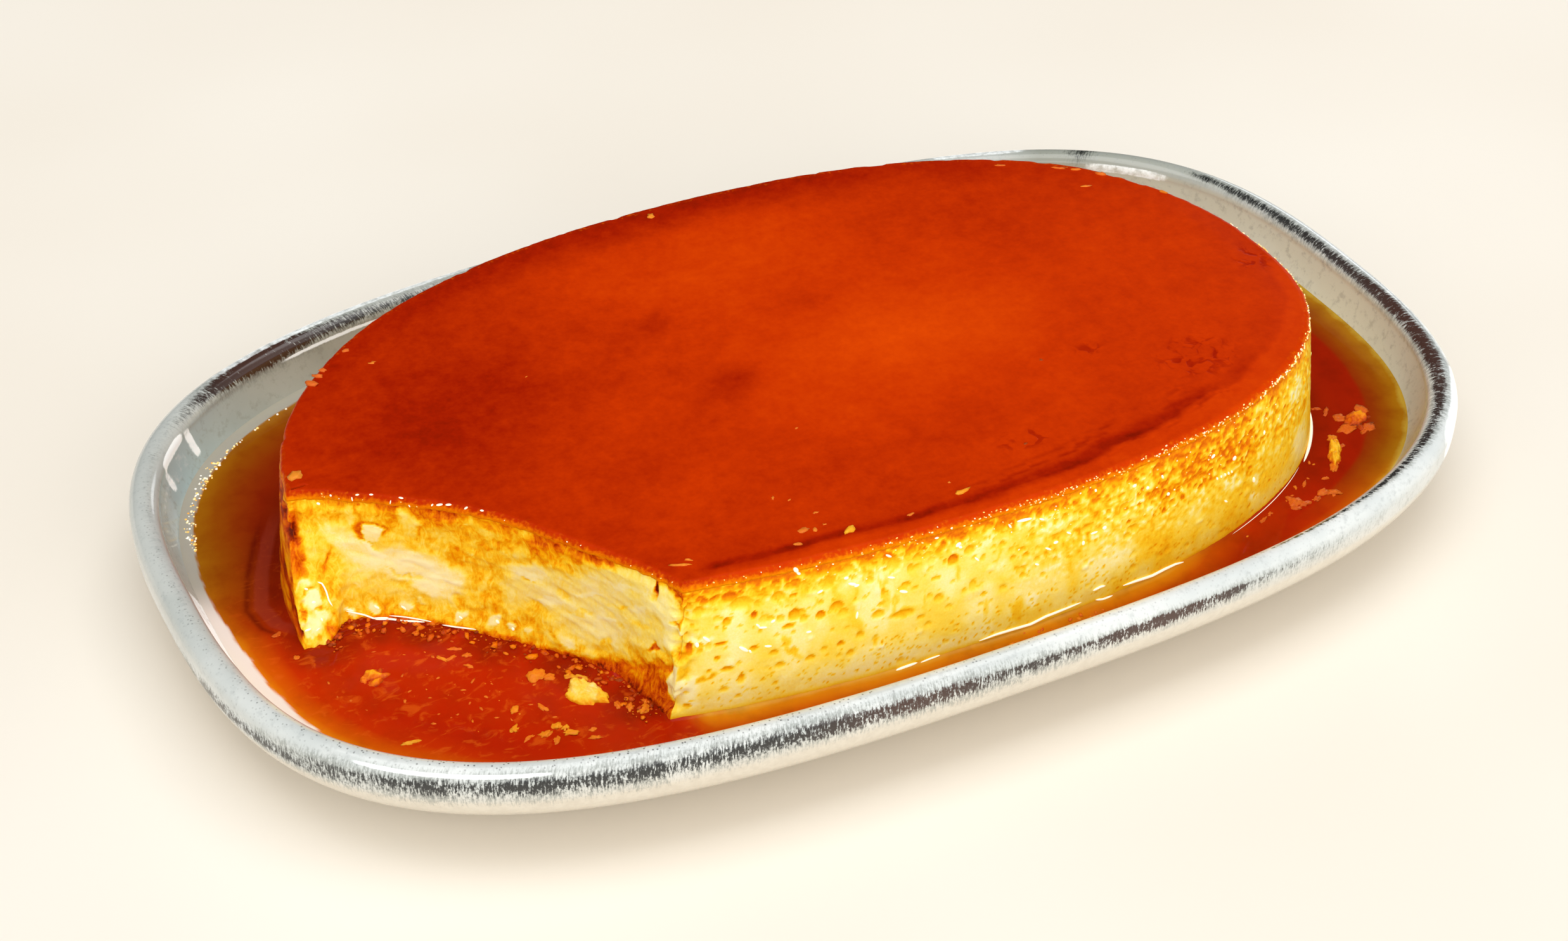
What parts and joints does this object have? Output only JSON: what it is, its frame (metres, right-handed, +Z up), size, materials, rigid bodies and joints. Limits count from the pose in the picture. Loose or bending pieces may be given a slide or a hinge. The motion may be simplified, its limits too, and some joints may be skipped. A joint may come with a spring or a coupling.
{
  "type": "creme caramel flan on a plate",
  "caption": "Oval baked custard with a soaked caramel top and one helping cut away, in a pool of caramel on an oval stoneware plate.",
  "frame": {"origin": "on the table under the middle of the plate", "axes": "+Z up, +X along the plate away from the end with the cut, +Y towards the uncut long side"},
  "size_m": [0.255, 0.1596, 0.0398],
  "materials": {
    "stoneware": "gloss",
    "liquid_caramel": "gloss",
    "custard": "satin",
    "caramel_glaze": "gloss"
  },
  "bodies": {
    "root": {"plate": "stoneware", "caramel_pool": "liquid_caramel", "custard": "custard", "caramel_top": "caramel_glaze", "crumb_by_cut": "custard", "crumb_left": "custard", "crumb_right": "custard", "crumb_right_long": "custard"}
  },
  "joints": []
}
